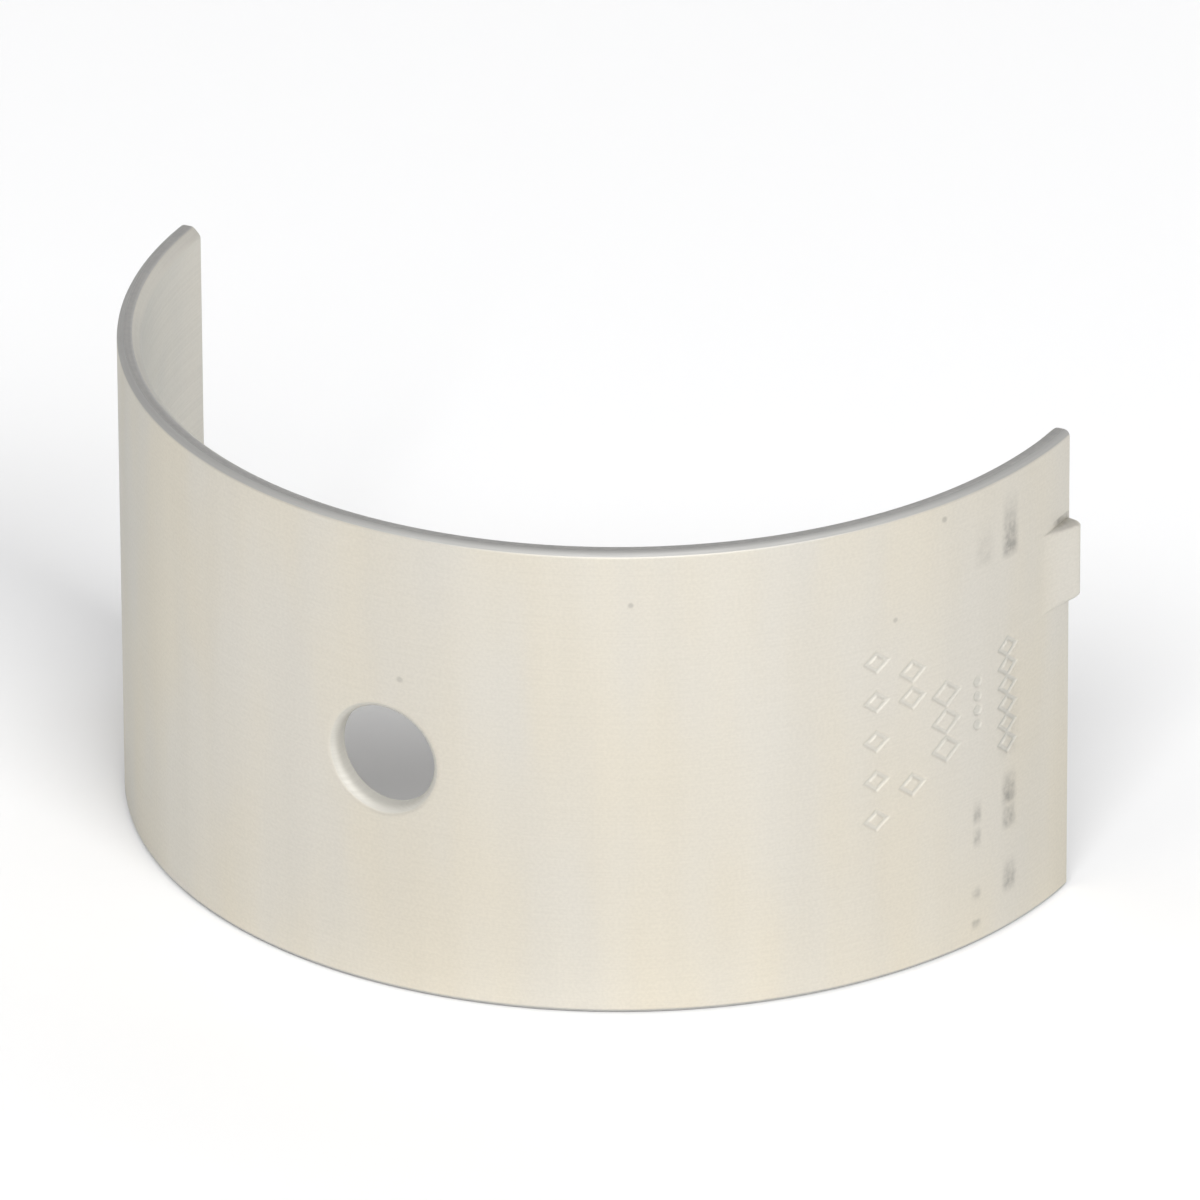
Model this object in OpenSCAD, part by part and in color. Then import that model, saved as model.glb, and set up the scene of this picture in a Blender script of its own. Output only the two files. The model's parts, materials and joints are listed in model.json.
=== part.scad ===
// Half shell of a thin-wall engine bearing. It is one strip of metal rolled to a half cylinder,
// with chamfered ends, one drilled oil hole at the crown and one locating tang bent out at a joint face.
// The journal axis is Z. The shell stands on its lower end face at z = 0, its crown points to -Y,
// and both joint faces lie in the parting plane y = 0. All lengths are in millimetres.

/* [Shell] */
// Diameter of the housing bore that the back of the shell seats in
housing_bore = 76; // [50:0.5:120]
// Thickness of the wall
wall = 1.82; // [1.3:0.01:4]
// Width of the shell along the journal axis
width = 38.5; // [20:0.5:60]
// Chamfer between the running surface and each end face
bore_chamfer = 0.65; // [0.2:0.05:0.9]
// Edge break between the back and each end face
back_chamfer = 0.3; // [0.1:0.05:0.6]
// Edge break along the joint faces, on the running surface and on the back
joint_chamfer = 0.25; // [0.1:0.05:0.5]

/* [Oil hole] */
// Diameter of the oil hole at the crown
oil_hole_d = 8.1; // [3:0.1:12]
// Height of the oil hole's centre above the middle of the width
oil_hole_offset = 0; // [-3:0.1:3]
// Depth of the countersink on the back
oil_hole_back_chamfer = 0.45; // [0.1:0.05:0.6]
// Depth of the countersink in the running surface
oil_hole_bore_chamfer = 0.3; // [0.1:0.05:0.6]

/* [Locating tang] */
// Width of the tang along the journal axis
tang_width = 6.6; // [3:0.1:10]
// Distance from the bend of the tang to the joint face
tang_length = 4.5; // [2:0.1:8]
// Height of the tang's tip above the back
tang_projection = 1.1; // [0.5:0.05:2.5]
// Distance from the upper end face to the tang
tang_margin = 7.2; // [2:0.1:9]
// Corner radius at the tip of the tang
tang_corner = 0.6; // [0.1:0.05:1.4]

/* [Hidden] */
$fn = 240;

// Overrun of a cut past the face that it starts from
cut = 1;

// Radii of the back and of the running surface
back_r = housing_bore / 2;
bore_r = back_r - wall;

// Height of the oil hole's axis
oil_hole_z = width / 2 + oil_hole_offset;

// The tang keeps the curve of the wall and is turned outward about its bend.
// The bend is where the back meets the plane y = -tang_length, and the tip lies on the parting plane.
tang_low = width - tang_margin - tang_width;
tang_bend = [sqrt(back_r * back_r - tang_length * tang_length), -tang_length];
tang_tip = [back_r + tang_projection, 0];
tang_chord = tang_tip - tang_bend;
tang_inward = [-tang_chord.y, tang_chord.x] / norm(tang_chord);
tang_sagitta_leg = sqrt(back_r * back_r - norm(tang_chord) * norm(tang_chord) / 4);
tang_centre = (tang_bend + tang_tip) / 2 + tang_inward * tang_sagitta_leg;

// Section of the wall through the journal axis, with its four edges broken
module wall_section() {
    polygon([
        [bore_r, bore_chamfer],
        [bore_r + bore_chamfer, 0],
        [back_r - back_chamfer, 0],
        [back_r, back_chamfer],
        [back_r, width - back_chamfer],
        [back_r - back_chamfer, width],
        [bore_r + bore_chamfer, width],
        [bore_r, width - bore_chamfer]
    ]);
}

// Wall rolled to a half cylinder on the -Y side of the parting plane
module half_wall() {
    rotate([0, 0, 180])
        rotate_extrude(angle = 180)
            wall_section();
}

// Wedge that breaks one long edge of a joint face: side is 1 for the back and -1 for the running surface
module joint_edge_cut(r, side) {
    reach = joint_chamfer + cut;
    translate([0, 0, -cut])
        linear_extrude(width + 2 * cut)
            polygon([
                [r - side * reach, cut],
                [r + side * cut, -reach],
                [r + side * cut, cut]
            ]);
}

// Edge breaks of both joint faces
module joint_edge_cuts() {
    for (turn = [0, 1])
        mirror([turn, 0, 0]) {
            joint_edge_cut(back_r, 1);
            joint_edge_cut(bore_r, -1);
        }
}

// Outline of the tang seen from outside, with its joint face on y = 0 and round corners there
module tang_outline() {
    translate([-tang_length, 0])
        square([tang_length - tang_corner, tang_width]);
    translate([-tang_corner, tang_corner])
        square([tang_corner, tang_width - 2 * tang_corner]);
    for (z = [tang_corner, tang_width - tang_corner])
        translate([-tang_corner, z])
            circle(tang_corner);
}

// Space around the tang, which is the strip of wall that was sheared free
module tang_space() {
    translate([0, 0, tang_low])
        rotate([90, 0, 90])
            linear_extrude(back_r + tang_projection + cut)
                tang_outline();
}

// Cylinder around the turned axis of the tang
module tang_cylinder(r) {
    translate([tang_centre.x, tang_centre.y, -cut])
        cylinder(r = r, h = width + 2 * cut);
}

// Tang between its own outer and inner curves, clear of the running surface
module tang() {
    difference() {
        intersection() {
            tang_space();
            tang_cylinder(back_r);
        }
        tang_cylinder(bore_r);
        translate([0, 0, -cut])
            cylinder(r = bore_r, h = width + 2 * cut);
    }
}

// Hollow that the tang leaves in the running surface
module tang_hollow() {
    intersection() {
        tang_space();
        tang_cylinder(bore_r);
    }
}

// Drilled oil hole with its two countersinks, along -Y at the crown
module oil_hole() {
    hole_r = oil_hole_d / 2;
    translate([0, 0, oil_hole_z])
        rotate([90, 0, 0]) {
            translate([0, 0, bore_r - wall])
                cylinder(r = hole_r, h = 3 * wall);
            translate([0, 0, back_r - oil_hole_back_chamfer])
                cylinder(r1 = hole_r, r2 = hole_r + oil_hole_back_chamfer + cut, h = oil_hole_back_chamfer + cut);
            translate([0, 0, bore_r - cut])
                cylinder(r1 = hole_r + oil_hole_bore_chamfer + cut, r2 = hole_r, h = oil_hole_bore_chamfer + cut);
        }
}

// The whole shell
module bearing_shell() {
    color([0.86, 0.84, 0.79])
        difference() {
            union() {
                difference() {
                    half_wall();
                    joint_edge_cuts();
                    tang_hollow();
                }
                tang();
            }
            oil_hole();
        }
}

bearing_shell();
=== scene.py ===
"""Engine bearing shell: finished mesh, materials, floor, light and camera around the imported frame.

Lengths are millimetres until a mesh, a lamp or the camera is placed, where MM makes them metres.
The shell is described as a flat strip: arc runs along the back from the crown to the joint faces,
height runs along the journal axis from the lower end face, and depth runs from the back inward.
"""
import json
import math

import bmesh
import bpy
from mathutils import Matrix, Vector


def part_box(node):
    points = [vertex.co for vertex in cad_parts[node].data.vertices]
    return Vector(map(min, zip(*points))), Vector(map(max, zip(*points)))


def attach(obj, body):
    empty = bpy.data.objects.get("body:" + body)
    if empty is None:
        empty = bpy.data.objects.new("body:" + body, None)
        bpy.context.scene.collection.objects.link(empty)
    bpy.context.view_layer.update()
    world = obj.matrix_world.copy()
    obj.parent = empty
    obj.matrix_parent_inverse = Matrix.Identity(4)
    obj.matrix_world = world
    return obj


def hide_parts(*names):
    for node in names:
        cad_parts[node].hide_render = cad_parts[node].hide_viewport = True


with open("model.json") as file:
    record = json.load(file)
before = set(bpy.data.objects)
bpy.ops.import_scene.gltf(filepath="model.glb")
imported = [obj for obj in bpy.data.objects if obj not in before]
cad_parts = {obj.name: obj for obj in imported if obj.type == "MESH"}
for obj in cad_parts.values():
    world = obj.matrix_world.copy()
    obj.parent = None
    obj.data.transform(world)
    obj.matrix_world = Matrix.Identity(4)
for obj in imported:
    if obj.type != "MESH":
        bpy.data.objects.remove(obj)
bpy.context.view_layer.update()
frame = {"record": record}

MM = 0.001

# Sizes that the frame gives
mounts = {mount["name"]: mount for mount in frame["record"]["mounts"]}
shell_low, shell_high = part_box("bearing_shell")
BACK_R = -shell_low[1] / MM
BORE_R = mounts["journal_seat"]["dims"]["r_mm"]
WALL = BACK_R - BORE_R
WIDTH = shell_high[2] / MM
HOLE_R = mounts["oil_hole"]["dims"]["r_mm"]
HOLE_Z = mounts["oil_hole"]["pos_m"][2] / MM
TANG_RISE = shell_high[0] / MM - BACK_R
TANG_Z = mounts["locating_tang"]["pos_m"][2] / MM

# Edges. A round that stands for a chamfer touches it at its middle.
ROUND_FOR_CHAMFER = 1 / (2 - math.sqrt(2))
BACK_CHAMFER = 0.3
HOLE_BACK_CHAMFER = 0.45
HOLE_BORE_CHAMFER = 0.3
BACK_ROUND = BACK_CHAMFER * ROUND_FOR_CHAMFER
HOLE_BACK_ROUND = HOLE_BACK_CHAMFER * ROUND_FOR_CHAMFER
HOLE_BORE_ROUND = HOLE_BORE_CHAMFER * ROUND_FOR_CHAMFER
BORE_CHAMFER = 0.65
CHAMFER_SOFT = 0.2
JOINT_EDGE = 0.25

# Tang. Its round side edges take at most a share of its lift.
TANG_WIDTH = 6.6
TANG_LENGTH = 4.5
TANG_CORNER = 0.6
TANG_EDGE = 0.55
TANG_TIP_EDGE = 0.45
TANG_BEND_SOFT = 2.0
TANG_SIDE_SHARE = 0.6

# Places along the strip
END = BACK_R * math.pi / 2
TANG_BEND = END - BACK_R * math.asin(TANG_LENGTH / BACK_R)
TANG_LOW = TANG_Z - TANG_WIDTH / 2
TANG_HIGH = TANG_Z + TANG_WIDTH / 2

# Spacing of the mesh lines
GRID_STEP = 0.8
STAMP_STEP = 0.085
EDGE_BAND = 1.5
ARC_STEPS = 5
BEND_STEPS = 5
HOLE_RINGS = 4
CORNER_SOFT = 0.05

# Rectangles of the back that the oil hole and the stamped marks take from the main grid
HOLE_FRAME = 5.0
STAMP_ARC = (36.2, 53.6)
STAMP_HEIGHT = (12.2, 28.4)
STAMP_MARGIN = 0.2

# Positions around a rectangle run from 0 to a full turn, with one unit to a side
FULL_TURN = 4.0

# Kinds of surface, which are also the material slots
BACK, BORE, CUT = range(3)


def spaced(stops, step):
    """Positions through every stop, no further apart than step."""
    stops = sorted(set(stops))
    places = [stops[0]]
    for low, high in zip(stops, stops[1:]):
        count = max(1, math.ceil((high - low) / step - 1e-6))
        places += [low + (high - low) * n / count for n in range(1, count + 1)]
    return places


def quarter(radius):
    """Distances from an edge at which a round of that radius is sampled."""
    return [radius * (1 - math.cos(math.pi / 2 * n / ARC_STEPS)) for n in range(ARC_STEPS + 1)]


def rounding(distance, radius):
    """How far a round edge has fallen away at a distance from it."""
    if distance >= radius:
        return 0.0
    return radius - math.sqrt(radius ** 2 - (radius - distance) ** 2)


# Tang and rolling

def tang_height(arc, height):
    """Height of a mesh line, drawn in to follow the round corners at the tip of the tang."""
    pull = rounding(END - arc, TANG_CORNER)
    stops = [TANG_LOW - EDGE_BAND, TANG_LOW, TANG_HIGH, TANG_HIGH + EDGE_BAND]
    moved = [stops[0], TANG_LOW + pull, TANG_HIGH - pull, stops[3]]
    for low, high, new_low, new_high in zip(stops, stops[1:], moved, moved[1:]):
        if low <= height <= high:
            return new_low + (new_high - new_low) * (height - low) / (high - low)
    return height


def bent(run):
    """Rise of a strip bent up with a soft bend, after a run past the bend."""
    return math.hypot(run, TANG_BEND_SOFT) - TANG_BEND_SOFT


def tang_lift(arc, height, depth):
    """How far the wall is bent out at a place on the strip, with round edges around the tang."""
    run = arc - TANG_BEND
    inside = min(height - TANG_LOW, TANG_HIGH - height)
    if run <= 0 or inside < 0:
        return 0.0
    lift = TANG_RISE * bent(run) / bent(END - TANG_BEND)
    side = rounding(inside, TANG_EDGE) * min(1.0, TANG_SIDE_SHARE * lift / TANG_EDGE)
    tip = rounding(END - arc, TANG_TIP_EDGE) - rounding(END - arc, JOINT_EDGE)
    return lift - max(side, tip * (1 - depth / WALL))


def rolled(arc, height, depth):
    """Point of the shell for a place on the strip, with the edges of the joint faces rounded."""
    inset = rounding(END - abs(arc), JOINT_EDGE)
    squeeze = 1 - 2 * inset / WALL
    radius = BACK_R - WALL / 2 - (depth - WALL / 2) * squeeze + tang_lift(arc, height, depth)
    angle = arc / BACK_R
    z = tang_height(arc, height)
    z += inset * max(0.0, 1 - height / EDGE_BAND)
    z -= inset * max(0.0, 1 - (WIDTH - height) / EDGE_BAND)
    return radius * math.sin(angle), -radius * math.cos(angle), z


# Mesh of the shell

class Strip:
    """Points and faces of the shell, each point with its place on the flat strip."""

    def __init__(self):
        self.points = []
        self.places = []
        self.faces = []
        self.kinds = []

    def add(self, place, point=None):
        """Adds a point, rolled from its place unless it is given, and returns its number."""
        self.points.append(point or rolled(*place))
        self.places.append(place)
        return len(self.points) - 1

    def face(self, kind, corners):
        """Adds a face between numbered points."""
        self.faces.append(corners)
        self.kinds.append(kind)

    def band(self, kind, first, second):
        """Quads between two closed loops of as many points."""
        for n in range(len(first)):
            self.face(kind, (first[n - 1], first[n], second[n], second[n - 1]))

    def stitch(self, kind, first, second):
        """Triangles between two closed loops of (position, point number), rising by position."""
        one = first + [(FULL_TURN, first[0][1])]
        two = second + [(FULL_TURN, second[0][1])]
        i = j = 0
        while i + 1 < len(one) or j + 1 < len(two):
            if j + 1 == len(two) or (i + 1 < len(one) and one[i + 1][0] <= two[j + 1][0]):
                self.face(kind, (one[i][1], one[i + 1][1], two[j][1]))
                i += 1
            else:
                self.face(kind, (one[i][1], two[j + 1][1], two[j][1]))
                j += 1


def soft_corner(before, corner, after):
    """Three points that soften a corner of an outline."""
    start = corner + (before - corner).normalized() * CHAMFER_SOFT
    end = corner + (after - corner).normalized() * CHAMFER_SOFT
    return [tuple(start), tuple((start + 2 * corner + end) / 4), tuple(end)]


def end_profile():
    """Edge of the wall from the back to the bore, as (depth, distance from the end face)."""
    flat = Vector((BACK_ROUND, 0))
    outer = Vector((WALL - BORE_CHAMFER, 0))
    inner = Vector((WALL, BORE_CHAMFER))
    bore = Vector((WALL, EDGE_BAND))
    rounded = [(fall, rounding(fall, BACK_ROUND)) for fall in quarter(BACK_ROUND)]
    return rounded + soft_corner(flat, outer, inner) + soft_corner(outer, inner, bore)


def rectangle(number, columns, rows):
    """Points around a rectangle of a grid, as (position, point number)."""
    left, right = columns
    low, high = rows
    wide = right - left
    tall = high - low
    around = [(n / wide, number(left + n, low)) for n in range(wide)]
    around += [(1 + n / tall, number(right, low + n)) for n in range(tall)]
    around += [(2 + n / wide, number(right - n, high)) for n in range(wide)]
    around += [(3 + n / tall, number(left, high - n)) for n in range(tall)]
    return around


def nearest(values, wanted):
    """Number of the value that lies nearest to the wanted one."""
    return min(range(len(values)), key=lambda n: abs(values[n] - wanted))


def main_arcs():
    """Places of the lines across the strip."""
    ends = sorted(set(quarter(JOINT_EDGE) + quarter(TANG_CORNER)))
    bends = [TANG_BEND + n * TANG_BEND_SOFT / BEND_STEPS for n in range(BEND_STEPS + 1)]
    stops = [END - gap for gap in ends] + [gap - END for gap in ends] + bends
    stops += [-HOLE_FRAME, HOLE_FRAME, *STAMP_ARC]
    return spaced(stops, GRID_STEP)


def main_heights():
    """Places of the lines along the strip, between the edge bands."""
    around = [-3 * CORNER_SOFT, -CORNER_SOFT] + quarter(TANG_EDGE)
    soft = [TANG_LOW + gap for gap in around] + [TANG_HIGH - gap for gap in around]
    stops = [EDGE_BAND, WIDTH - EDGE_BAND, TANG_LOW - EDGE_BAND, TANG_HIGH + EDGE_BAND]
    stops += [HOLE_Z - HOLE_FRAME, HOLE_Z + HOLE_FRAME, *STAMP_HEIGHT]
    return spaced(stops + soft, GRID_STEP)


def section_loop(heights):
    """Loop of (height, depth) around the wall's section: up the back, over the rim, down the bore."""
    rim = end_profile()
    loop = [(height, 0.0) for height in heights]
    loop += [(WIDTH - fall, depth) for depth, fall in rim]
    loop += [(height, WALL) for height in reversed(heights)]
    loop += [(fall, depth) for depth, fall in reversed(rim)]
    return loop


def kind_of(one, two):
    """Kind of surface between two points of the section: only the flat of an end face is bare."""
    depth = (one[1] + two[1]) / 2
    if depth < BACK_ROUND:
        return BACK
    if depth > WALL - BORE_CHAMFER:
        return BORE
    return CUT


def shell_strip():
    """The whole shell as points and faces."""
    strip = Strip()
    arcs = main_arcs()
    heights = main_heights()
    loop = section_loop(heights)
    rows = len(heights)
    rim = len(end_profile())
    grid = [[strip.add((arc, height, depth)) for height, depth in loop] for arc in arcs]

    def on_back(column, row):
        return grid[column][row]

    def on_bore(column, row):
        return grid[column][2 * rows + rim - 1 - row]

    hole_columns = (nearest(arcs, -HOLE_FRAME), nearest(arcs, HOLE_FRAME))
    hole_rows = (nearest(heights, HOLE_Z - HOLE_FRAME), nearest(heights, HOLE_Z + HOLE_FRAME))
    stamp_columns = tuple(nearest(arcs, arc) for arc in STAMP_ARC)
    stamp_rows = tuple(nearest(heights, height) for height in STAMP_HEIGHT)

    def taken(kind, column, middle):
        """Whether a face at a column and a height is in the rectangle of the hole or the marks."""
        in_hole = hole_columns[0] <= column < hole_columns[1] and abs(middle - HOLE_Z) < HOLE_FRAME
        in_stamp = (
            stamp_columns[0] <= column < stamp_columns[1]
            and STAMP_HEIGHT[0] < middle < STAMP_HEIGHT[1]
        )
        return kind != CUT and (in_hole or (kind == BACK and in_stamp))

    for column in range(len(arcs) - 1):
        for k in range(len(loop)):
            kind = kind_of(loop[k - 1], loop[k])
            if not taken(kind, column, (loop[k - 1][0] + loop[k][0]) / 2):
                here = grid[column]
                there = grid[column + 1]
                strip.face(kind, (here[k - 1], here[k], there[k], there[k - 1]))

    add_joint_face(strip, grid[0], rows, rim)
    add_joint_face(strip, grid[-1], rows, rim)
    back_frame = rectangle(on_back, hole_columns, hole_rows)
    bore_frame = rectangle(on_bore, hole_columns, hole_rows)
    add_oil_hole(strip, back_frame, bore_frame)
    add_stamp(strip, rectangle(on_back, stamp_columns, stamp_rows))
    return strip


def add_joint_face(strip, section, rows, rim):
    """Closes one end: quads between the back and the bore, and one face under each rim."""
    last = 2 * rows + rim - 1
    for row in range(rows - 1):
        back = (section[row], section[row + 1])
        bore = (section[last - row - 1], section[last - row])
        strip.face(CUT, back + bore)
    strip.face(CUT, tuple(section[rows - 1:rows + rim + 1]))
    strip.face(CUT, tuple(section[last:] + section[:1]))


# Oil hole

def hole_rings(strip, surface_r, loop, radius, inward):
    """Rings from a frame on one surface to the hole, and over a round edge to the hole's wall."""
    spots = [(strip.points[number][0], strip.points[number][2] - HOLE_Z) for number in loop]

    def ring(reach_of, sunk):
        """Loop of points at distances from the hole's axis, sunk below the surface."""
        numbers = []
        for x, z in spots:
            far = math.hypot(x, z)
            reach = reach_of(far)
            x *= reach / far
            z *= reach / far
            out = math.sqrt(surface_r ** 2 - x ** 2) + inward * sunk
            place = (BACK_R * math.atan2(x, out), HOLE_Z + z, BACK_R - math.hypot(x, out))
            numbers.append(strip.add(place, (x, -out, HOLE_Z + z)))
        return numbers

    edge = HOLE_R + radius
    flat = [loop]
    for n in reversed(range(HOLE_RINGS)):
        share = n / HOLE_RINGS
        flat.append(ring(lambda far: edge + (far - edge) * share, 0.0))
    wall = [flat[-1]]
    for fall in quarter(radius)[1:]:
        reach = HOLE_R + rounding(fall, radius)
        wall.append(ring(lambda far: reach, fall))
    return flat, wall


def add_oil_hole(strip, back_frame, bore_frame):
    """Fills the frames on the back and in the bore with rings, and joins them by the hole's wall."""
    back_loop = [number for _, number in back_frame]
    bore_loop = [number for _, number in bore_frame]
    back_flat, back_wall = hole_rings(strip, BACK_R, back_loop, HOLE_BACK_ROUND, -1)
    bore_flat, bore_wall = hole_rings(strip, BORE_R, bore_loop, HOLE_BORE_ROUND, 1)
    wall = back_wall + bore_wall[::-1]
    for kind, rings in ((BACK, back_flat), (BORE, bore_flat), (BACK, wall)):
        for first, second in zip(rings, rings[1:]):
            strip.band(kind, first, second)


# Stamped marks

STAMP_SLOPE = 0.2
STROKE = 0.17
DIAMOND_SQUASH = 1.25
DIAMOND_SCALE = 0.62
MARK_REACH = 2.5


def diamond(arc, height, size):
    """Distance from the outline of a diamond, which is squashed along the height."""
    along = abs(arc) + DIAMOND_SQUASH * abs(height) - size / 2
    return abs(along * DIAMOND_SCALE) - STROKE


def dot(arc, height, size):
    """Distance from a round dot."""
    return math.hypot(arc, height) - size / 2


STAMP_COLUMNS = (
    # arc, heights, depth, shape, size
    (38.4, [13.6 + 3.3 * n for n in range(5)], 0.07, diamond, 1.8),
    (41.6, [15.7, 23.0, 25.2], 0.075, diamond, 2.0),
    (44.8, [17.7, 20.0, 22.3], 0.08, diamond, 2.4),
    (47.95, [18.6, 19.8, 21.0, 22.2], 0.09, dot, 0.8),
    (51.3, [15.9 + 1.6 * n for n in range(6)], 0.11, diamond, 1.8),
)


def stamp_depth(columns, arc, height):
    """Depth of the plain index marks at a place on the back."""
    deepest = 0.0
    for middle, levels, depth, shape, size in columns:
        for level in levels:
            gap = shape(arc - middle, height - level, size)
            share = min(max(0.5 - gap / STAMP_SLOPE, 0.0), 1.0)
            deepest = max(deepest, depth * share * share * (3 - 2 * share))
    return deepest


def stamp_lines(span):
    """Lines of the fine grid along one side of the marks' rectangle."""
    low, high = span
    return spaced([low + STAMP_MARGIN, high - STAMP_MARGIN], STAMP_STEP)


def add_stamp(strip, frame_points):
    """Fills the rectangle of the marks with a fine grid."""
    arcs = stamp_lines(STAMP_ARC)
    heights = stamp_lines(STAMP_HEIGHT)
    grid = []
    for arc in arcs:
        near = [column for column in STAMP_COLUMNS if abs(column[0] - arc) < MARK_REACH]
        places = [(arc, height, stamp_depth(near, arc, height)) for height in heights]
        grid.append([strip.add(place) for place in places])
    for here, there in zip(grid, grid[1:]):
        for row in range(len(heights) - 1):
            strip.face(BACK, (here[row], here[row + 1], there[row + 1], there[row]))
    edge = rectangle(lambda c, r: grid[c][r], (0, len(arcs) - 1), (0, len(heights) - 1))
    strip.stitch(BACK, frame_points, edge)


# Node helpers

# Ranges that most of a noise lies in, for shades and for colours
SHADE_RANGE = (0.3, 0.7)
CLOUD_RANGE = (0.35, 0.65)

# Detail of a noise
SOFT = 2.0
FINE = 3.0

# Colour of metal that is seen at a slant
EDGE_TINT = (0.54, 0.57, 0.59, 1)


def add(tree, kind, inputs=None, **settings):
    """Adds a shader node with its settings, and sets or links its inputs."""
    made = tree.nodes.new("ShaderNode" + kind)
    for name, value in settings.items():
        setattr(made, name, value)
    for name, value in (inputs or {}).items():
        socket = made.inputs[name]
        if isinstance(value, bpy.types.NodeSocket):
            tree.links.new(value, socket)
        else:
            socket.default_value = value
    return made


def maths(tree, operation, first, second=0.0):
    """Result of a sum on one or two values."""
    return add(tree, "Math", {0: first, 1: second}, operation=operation).outputs[0]


def ranged(tree, value, low, high, new_low, new_high):
    """Value carried smoothly from one range to another, and held at its ends."""
    inputs = {
        "Value": value,
        "From Min": low,
        "From Max": high,
        "To Min": new_low,
        "To Max": new_high,
    }
    return add(tree, "MapRange", inputs, interpolation_type="SMOOTHSTEP").outputs["Result"]


def mixed(tree, factor, first, second):
    """Colour between two colours, from the node's sockets for colours."""
    made = add(tree, "Mix", {0: factor, 6: first, 7: second}, data_type="RGBA")
    return made.outputs[2]


def tinted(tree, colour, *shades):
    """Colour multiplied by one or more shades."""
    for shade in shades:
        colour = add(tree, "VectorMath", {0: colour, 1: shade}, operation="MULTIPLY").outputs[0]
    return colour


def noise(tree, place, stretch, detail):
    """Noise over the strip, with so many grains to a millimetre along arc, height and depth."""
    scaled = add(tree, "VectorMath", {0: place, 1: stretch}, operation="MULTIPLY").outputs[0]
    inputs = {"Vector": scaled, "Scale": 1.0, "Detail": detail}
    return add(tree, "TexNoise", inputs).outputs["Fac"]


def varied(tree, value, span):
    """Noise carried to a span of shades."""
    return ranged(tree, value, *SHADE_RANGE, *span)


def clouded(tree, value, first, second):
    """Colour that drifts between two colours with a noise."""
    return mixed(tree, ranged(tree, value, *CLOUD_RANGE, 0.0, 1.0), first, second)


def strip_place(tree):
    """Place on the strip, in millimetres."""
    return add(tree, "Attribute", attribute_name="strip").outputs["Vector"]


def new_material(name):
    """Material with an empty node tree."""
    material = bpy.data.materials.new(name)
    material.use_nodes = True
    tree = material.node_tree
    tree.nodes.clear()
    return material, tree


def surface(tree, colour, roughness, normal):
    """Closes a material with a metal surface, a little darker where it is seen at a slant."""
    inputs = {
        "Base Color": colour,
        "Roughness": roughness,
        "Normal": normal,
        "Metallic": 1.0,
        "Specular Tint": EDGE_TINT,
    }
    shader = add(tree, "BsdfPrincipled", inputs)
    add(tree, "OutputMaterial", {"Surface": shader.outputs[0]})


def bump(tree, height, distance):
    """Normal from a height, with its distance in millimetres."""
    return add(tree, "Bump", {"Height": height, "Distance": distance * MM}).outputs["Normal"]


# Smudges and specks on the back, and a painted shade line above the tang

SMUDGES_AND_SHADE_LINE = (
    # arc of the middle, half width, lower end, upper end, strength
    (51.5, 0.95, 31.4, 37.6, 0.50),
    (51.5, 0.90, 10.6, 14.0, 0.50),
    (51.5, 0.85, 8.6, 11.4, 0.42),
    (51.6, 0.85, 3.3, 6.4, 0.44),
    (47.95, 0.50, 10.2, 12.6, 0.34),
    (47.95, 0.50, 8.3, 10.2, 0.32),
    (47.9, 0.55, 3.8, 5.0, 0.28),
    (47.9, 0.55, 1.4, 2.3, 0.32),
    (48.6, 1.10, 31.6, 36.0, 0.12),
    (51.5, 1.30, 14.6, 28.0, 0.10),
    # painted shade: a dark line over the upper edge of the tang, where the lifted tang leaves a
    # shadowed gap
    (58.5, 1.40, TANG_HIGH - 0.1, TANG_HIGH + 0.7, 0.50),
)
SPECKS = (
    # arc, height, radius, strength
    (19.3, 34.2, 0.30, 0.30),
    (44.5, 36.9, 0.35, 0.30),
    (1.6, 26.2, 0.35, 0.25),
    (40.0, 29.9, 0.30, 0.25),
)

# Shares of a half width at which a streak is full and gone, and how it sets in around its lower end
STREAK_FULL = 0.3
STREAK_GONE = 1.2
STREAK_BELOW = 0.3
STREAK_ABOVE = 0.6

# Share of its radius at which a speck is full
SPECK_FULL = 0.3

MOTTLE_GRAIN = (1.9, 1.5, 0.0)
MOTTLE_SHADE = (0.45, 1.15)


def streak_mask(tree, arc, height, middle, half, low, high):
    """Mask of a streak along the height, for the smudges and the painted shade line: it ends short
    below and fades out above.
    """
    across = maths(tree, "ABSOLUTE", maths(tree, "SUBTRACT", arc, middle))
    full = low + STREAK_ABOVE
    mask = ranged(tree, across, STREAK_FULL * half, STREAK_GONE * half, 1.0, 0.0)
    mask = maths(tree, "MULTIPLY", mask, ranged(tree, height, low - STREAK_BELOW, full, 0.0, 1.0))
    return maths(tree, "MULTIPLY", mask, ranged(tree, height, full, high, 1.0, 0.0))


def speck(tree, arc, height, middle, level, radius):
    """Mask of a soft round speck."""
    across = maths(tree, "POWER", maths(tree, "SUBTRACT", arc, middle), 2.0)
    along = maths(tree, "POWER", maths(tree, "SUBTRACT", height, level), 2.0)
    away = maths(tree, "SQRT", maths(tree, "ADD", across, along))
    return ranged(tree, away, SPECK_FULL * radius, radius, 1.0, 0.0)


def soiling_and_shade(tree, place):
    """Mask of the dark smudges and specks on the back, and of the painted shade line above the tang.
    """
    arc, height, _ = add(tree, "SeparateXYZ", {0: place}).outputs
    mottle = varied(tree, noise(tree, place, MOTTLE_GRAIN, FINE), MOTTLE_SHADE)
    total = 0.0
    for *spot, strength in SMUDGES_AND_SHADE_LINE:
        mask = maths(tree, "MULTIPLY", streak_mask(tree, arc, height, *spot), strength)
        total = maths(tree, "MAXIMUM", total, mask)
    total = maths(tree, "MULTIPLY", total, mottle)
    for *spot, strength in SPECKS:
        mask = maths(tree, "MULTIPLY", speck(tree, arc, height, *spot), strength)
        total = maths(tree, "MAXIMUM", total, mask)
    return total


# Flash on the back

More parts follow.
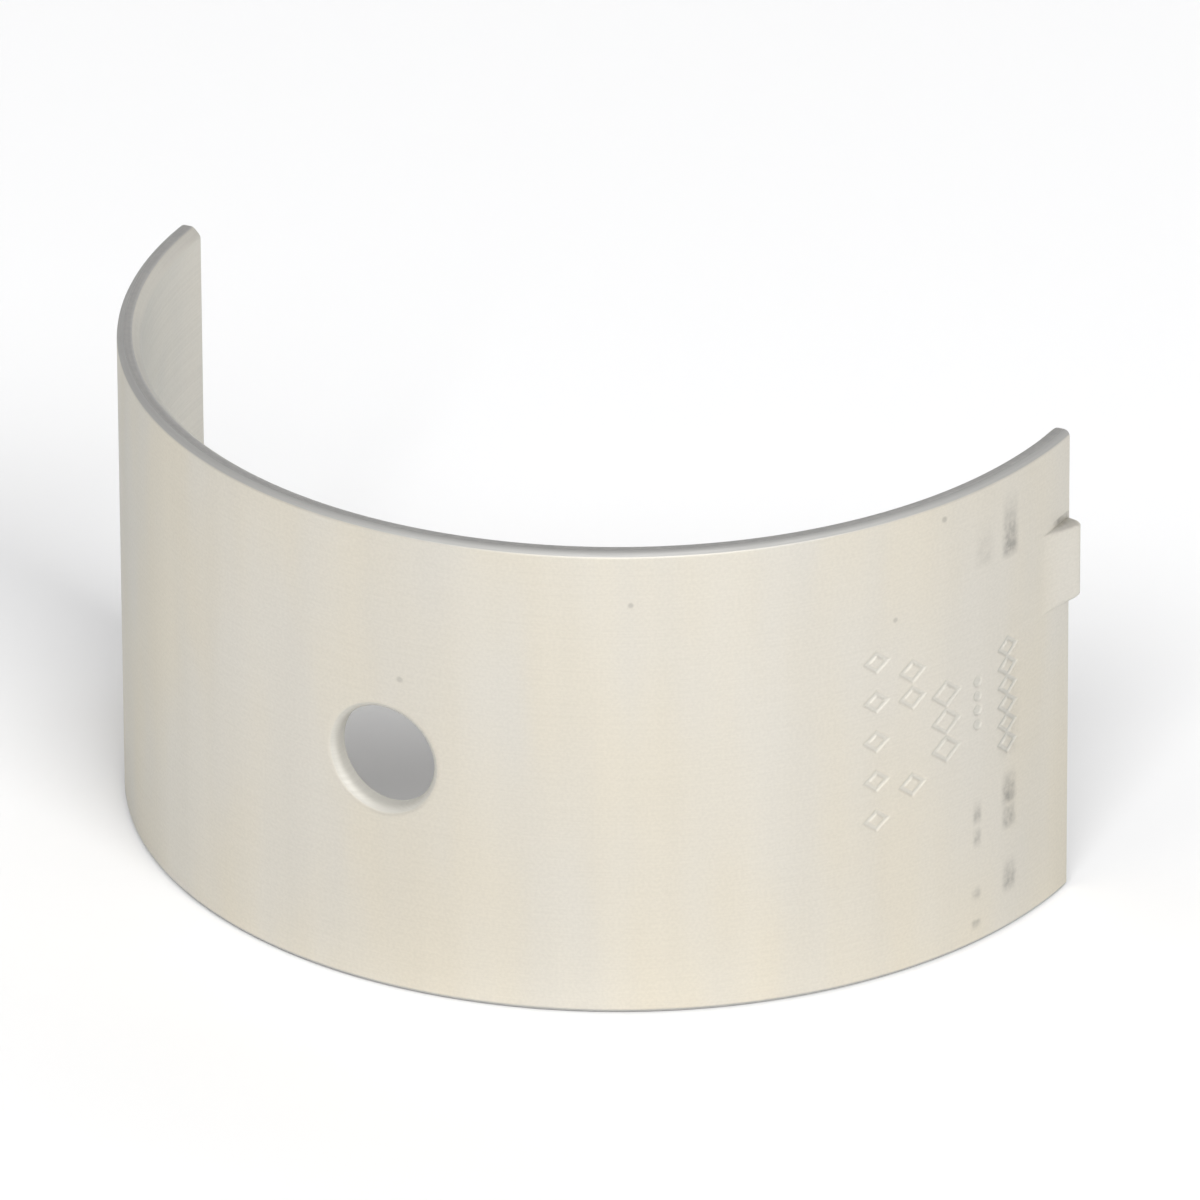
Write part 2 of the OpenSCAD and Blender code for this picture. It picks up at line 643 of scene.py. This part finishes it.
FLASH_WARM = (0.735, 0.69, 0.595, 1)
FLASH_COOL = (0.72, 0.69, 0.625, 1)
# Colour of the smudges, and of the painted shade line above the tang
FLASH_SOILED_AND_SHADED = (0.16, 0.155, 0.15, 1)
FLASH_CLOUDS = (0.11, 0.03, 0.0)
FLASH_BANDS = (0.2, 0.01, 0.0)
FLASH_BAND_SHADE = (0.985, 1.015)
FLASH_GRAIN = (4.0, 4.0, 0.0)
FLASH_GRAIN_SHADE = (0.975, 1.02)
FLASH_GRAIN_RELIEF = 0.6
FLASH_LINES = (0.12, 7.0, 0.0)
FLASH_LINE_RELIEF = 0.4
FLASH_RELIEF = 0.004
FLASH_ROUGHNESS = (0.47, 0.54)

# Worn edges and marks: the flash is worn off at a depth below the back, and sooner near an end face.
# The darker, greyer colour there is also painted shade: a dark line along the rounds by the end faces,
# darker floors in the marks, and a damped highlight on the round edge of the oil hole.
WORN_AND_SHADED_COLOUR = (0.66, 0.645, 0.60, 1)
WORN_AND_SHADED_END_COLOUR = (0.53, 0.525, 0.51, 1)
WORN_AND_SHADED_DEPTH = 0.12
WORN_AND_SHADED_END_FACTOR = 2.0
WORN_AND_SHADED_END_STARTS = 1.0
WORN_AND_SHADED_END_FULL = 0.6
WORN_ROUGHNESS = 0.3


def flash_material():
    """Satin tin flash: warm pale grey, faintly clouded, with rolling lines, edges where the flash
    wears off and that are painted darker as shade, smudges, and a painted shade line above the tang.
    """
    material, tree = new_material("tin_flash")
    place = strip_place(tree)
    _, height, depth = add(tree, "SeparateXYZ", {0: place}).outputs
    clouds = noise(tree, place, FLASH_CLOUDS, SOFT)
    bands = noise(tree, place, FLASH_BANDS, SOFT)
    grain = noise(tree, place, FLASH_GRAIN, FINE)
    lines = noise(tree, place, FLASH_LINES, FINE)
    base = clouded(tree, clouds, FLASH_WARM, FLASH_COOL)
    band_shade = varied(tree, bands, FLASH_BAND_SHADE)
    grain_shade = varied(tree, grain, FLASH_GRAIN_SHADE)
    toned = tinted(tree, base, band_shade, grain_shade)
    half = WIDTH / 2
    off_middle = maths(tree, "ABSOLUTE", maths(tree, "SUBTRACT", height, half))
    at_end = ranged(tree, off_middle, half - WORN_AND_SHADED_END_STARTS, half - WORN_AND_SHADED_END_FULL, 0.0, 1.0)
    # Wear mixed with painted shade: edge rounds, the hole and the floors of the marks get a darker,
    # greyer colour
    worn_and_shaded = mixed(tree, at_end, WORN_AND_SHADED_COLOUR, WORN_AND_SHADED_END_COLOUR)
    sunk = maths(tree, "MULTIPLY", depth, ranged(tree, at_end, 0.0, 1.0, 1.0, WORN_AND_SHADED_END_FACTOR))
    thinned_and_shaded = mixed(tree, ranged(tree, sunk, 0.0, WORN_AND_SHADED_DEPTH, 0.0, 1.0), toned, worn_and_shaded)
    # Smudges and specks, and the painted shade line above the tang
    colour = mixed(tree, soiling_and_shade(tree, place), thinned_and_shaded, FLASH_SOILED_AND_SHADED)
    dulled = ranged(tree, sunk, 0.0, WORN_AND_SHADED_DEPTH, 0.0, WORN_ROUGHNESS)
    roughness = maths(tree, "ADD", varied(tree, lines, FLASH_ROUGHNESS), dulled)
    grain_relief = maths(tree, "MULTIPLY", grain, FLASH_GRAIN_RELIEF)
    line_relief = maths(tree, "MULTIPLY", lines, FLASH_LINE_RELIEF)
    relief = maths(tree, "ADD", grain_relief, line_relief)
    surface(tree, colour, roughness, bump(tree, relief, FLASH_RELIEF))
    return material


# Lining in the bore

LINING_LIGHT = (0.73, 0.70, 0.63, 1)
LINING_DARK = (0.70, 0.675, 0.615, 1)
LINING_CLOUDS = (0.12, 0.1, 0.0)
LINING_LINES = (0.03, 6.0, 0.0)
LINING_LINE_SHADE = (0.97, 1.02)
LINING_GRAIN = (3.0, 3.0, 0.0)
LINING_ROUGHNESS = (0.40, 0.48)
LINING_RELIEF = 0.004


def overlay_material():
    """Running surface: satin grey lining with fine boring lines around the journal."""
    material, tree = new_material("running_overlay")
    place = strip_place(tree)
    clouds = noise(tree, place, LINING_CLOUDS, FINE)
    lines = noise(tree, place, LINING_LINES, FINE)
    grain = noise(tree, place, LINING_GRAIN, SOFT)
    base = clouded(tree, clouds, LINING_LIGHT, LINING_DARK)
    colour = tinted(tree, base, varied(tree, lines, LINING_LINE_SHADE))
    roughness = varied(tree, grain, LINING_ROUGHNESS)
    surface(tree, colour, roughness, bump(tree, lines, LINING_RELIEF))
    return material


# Bare metal on the flats of the edges

BARE_LIGHT = (0.64, 0.625, 0.60, 1)
BARE_DARK = (0.60, 0.59, 0.57, 1)
BARE_LINES = (0.08, 5.0, 9.0)
BARE_LINE_SHADE = (0.93, 1.04)
BARE_GRAIN = (2.0, 2.0, 2.0)
BARE_ROUGHNESS = (0.42, 0.5)
BARE_RELIEF = 0.003


def cut_material():
    """Flats of the end faces and joint faces: bare grey metal with fine cutting lines."""
    material, tree = new_material("machined_edge")
    place = strip_place(tree)
    lines = noise(tree, place, BARE_LINES, FINE)
    grain = noise(tree, place, BARE_GRAIN, FINE)
    base = clouded(tree, grain, BARE_LIGHT, BARE_DARK)
    colour = tinted(tree, base, varied(tree, lines, BARE_LINE_SHADE))
    roughness = varied(tree, lines, BARE_ROUGHNESS)
    surface(tree, colour, roughness, bump(tree, lines, BARE_RELIEF))
    return material


# Shell

SHARP_ANGLE = math.radians(50)


def make_shell():
    """Mesh of the shell, which stands for the solid."""
    strip = shell_strip()
    mesh = bpy.data.meshes.new("bearing_shell_skin")
    mesh.from_pydata([[c * MM for c in point] for point in strip.points], [], strip.faces)
    mesh.polygons.foreach_set("material_index", strip.kinds)
    places = mesh.attributes.new("strip", "FLOAT_VECTOR", "POINT")
    places.data.foreach_set("vector", [c for place in strip.places for c in place])
    work = bmesh.new()
    work.from_mesh(mesh)
    bmesh.ops.recalc_face_normals(work, faces=work.faces)
    for face in work.faces:
        face.smooth = True
    for edge in work.edges:
        edge.smooth = edge.calc_face_angle(0.0) < SHARP_ANGLE
    work.to_mesh(mesh)
    work.free()
    for material in (flash_material(), overlay_material(), cut_material()):
        mesh.materials.append(material)
    shell = bpy.data.objects.new("bearing_shell_skin", mesh)
    bpy.context.scene.collection.objects.link(shell)
    weighted = shell.modifiers.new("flat_faces_lead", "WEIGHTED_NORMAL")
    weighted.keep_sharp = True
    return shell


shell = make_shell()
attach(shell, "root")
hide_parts("bearing_shell")


# Floor and backdrop

FLOOR_HALF = 4000.0
FLOOR_COLOUR = (0.93, 0.93, 0.93)
WALL_Y = 2300.0
WALL_HALF = 3000.0
WALL_HIGH = 2600.0
WALL_COLOUR = (0.92, 0.92, 0.92, 1)

# Gap that keeps the floor clear of the lower end face
FLOOR_DROP = 0.02

# Patch of the floor in front of the shell
PATCH_SHADE = 0.90
PATCH_MIDDLE = (9.0, -17.0, 0.0)
PATCH_INNER = 30.0
PATCH_OUTER = 75.0


def matt(tree, colour):
    """Closes a material with a matt surface."""
    shader = add(tree, "BsdfDiffuse", {"Color": colour})
    add(tree, "OutputMaterial", {"Surface": shader.outputs[0]})


def floor_material():
    """White paper, a little darker in front of the shell, where light off the shell burns it out."""
    material, tree = new_material("floor_paper")
    spot = add(tree, "TexCoord").outputs["Object"]
    middle = [c * MM for c in PATCH_MIDDLE]
    away = add(tree, "VectorMath", {0: spot, 1: middle}, operation="DISTANCE").outputs["Value"]
    shade = ranged(tree, away, PATCH_INNER * MM, PATCH_OUTER * MM, PATCH_SHADE, 1.0)
    matt(tree, tinted(tree, FLOOR_COLOUR, shade))
    return material


def backdrop_material():
    """Plain white paper."""
    material, tree = new_material("backdrop_paper")
    matt(tree, WALL_COLOUR)
    return material


def staged_plane(name, corners, material):
    """Plane that isn't part of the object."""
    mesh = bpy.data.meshes.new(name)
    mesh.from_pydata([[c * MM for c in corner] for corner in corners], [], [(0, 1, 2, 3)])
    mesh.materials.append(material)
    plane = bpy.data.objects.new(name, mesh)
    bpy.context.scene.collection.objects.link(plane)


def make_stage():
    """Floor around the shell and backdrop behind it."""
    around = [(-1, -1), (1, -1), (1, 1), (-1, 1)]
    floor = [(x * FLOOR_HALF, y * FLOOR_HALF, -FLOOR_DROP) for x, y in around]
    staged_plane("floor", floor, floor_material())
    upright = [(-1, 0), (1, 0), (1, 1), (-1, 1)]
    backdrop = [(x * WALL_HALF, WALL_Y, z * WALL_HIGH - FLOOR_DROP) for x, z in upright]
    staged_plane("backdrop", backdrop, backdrop_material())


make_stage()


# Light

WORLD_COLOUR = (0.21, 0.21, 0.215, 1)
LAMP_DISTANCE = 3000.0
LAMPS = (
    # name, azimuth, elevation, width, height, power
    ("key", 36, 37, 2800, 900, 118),
    ("fill", -60, 38, 2000, 2000, 12),
    ("overhead", 0, 85, 2000, 2000, 5),
)


def make_world():
    """Even grey light from all around."""
    world = bpy.data.worlds.new("studio")
    world.use_nodes = True
    tree = world.node_tree
    tree.nodes.clear()
    background = add(tree, "Background", {"Color": WORLD_COLOUR})
    add(tree, "OutputWorld", {"Surface": background.outputs[0]})
    bpy.context.scene.world = world


def direction(azimuth, elevation):
    """Unit vector from the object, with azimuth 0 towards the crown and 90 towards the tang."""
    around = math.radians(azimuth)
    above = math.radians(elevation)
    flat = math.cos(above)
    return Vector((math.sin(around) * flat, -math.cos(around) * flat, math.sin(above)))


def softbox(name, azimuth, elevation, wide, tall, power):
    """Rectangular lamp that faces the object."""
    lamp = bpy.data.lights.new(name, "AREA")
    lamp.shape = "RECTANGLE"
    lamp.size = wide * MM
    lamp.size_y = tall * MM
    lamp.energy = power
    box = bpy.data.objects.new(name, lamp)
    towards = direction(azimuth, elevation)
    box.location = towards * LAMP_DISTANCE * MM
    box.rotation_mode = "QUATERNION"
    box.rotation_quaternion = towards.to_track_quat("Z", "Y")
    bpy.context.scene.collection.objects.link(box)


make_world()
for lamp in LAMPS:
    softbox(*lamp)


# Camera

CAMERA_AZIMUTH = 28.217
CAMERA_ELEVATION = 27.148
CAMERA_ROLL = -0.294
CAMERA_DISTANCE = 1406.0
CAMERA_AIM = (6.196, -15.093, 23.517)
CAMERA_LENS = 562.7
SENSOR = 36.0


def make_camera():
    """Camera at the photograph's viewing angle."""
    data = bpy.data.cameras.new("camera")
    data.lens = CAMERA_LENS
    data.sensor_width = SENSOR
    back = direction(CAMERA_AZIMUTH, CAMERA_ELEVATION)
    across = Vector((0, 0, 1)).cross(back).normalized()
    turned = Matrix.Rotation(math.radians(CAMERA_ROLL), 3, back)
    right = turned @ across
    up = back.cross(right)
    place = Matrix((right, up, back)).transposed().to_4x4()
    place.translation = (Vector(CAMERA_AIM) + back * CAMERA_DISTANCE) * MM
    camera = bpy.data.objects.new("camera", data)
    camera.matrix_world = place
    bpy.context.scene.collection.objects.link(camera)
    bpy.context.scene.camera = camera


make_camera()
bpy.context.scene.view_settings.view_transform = "Standard"
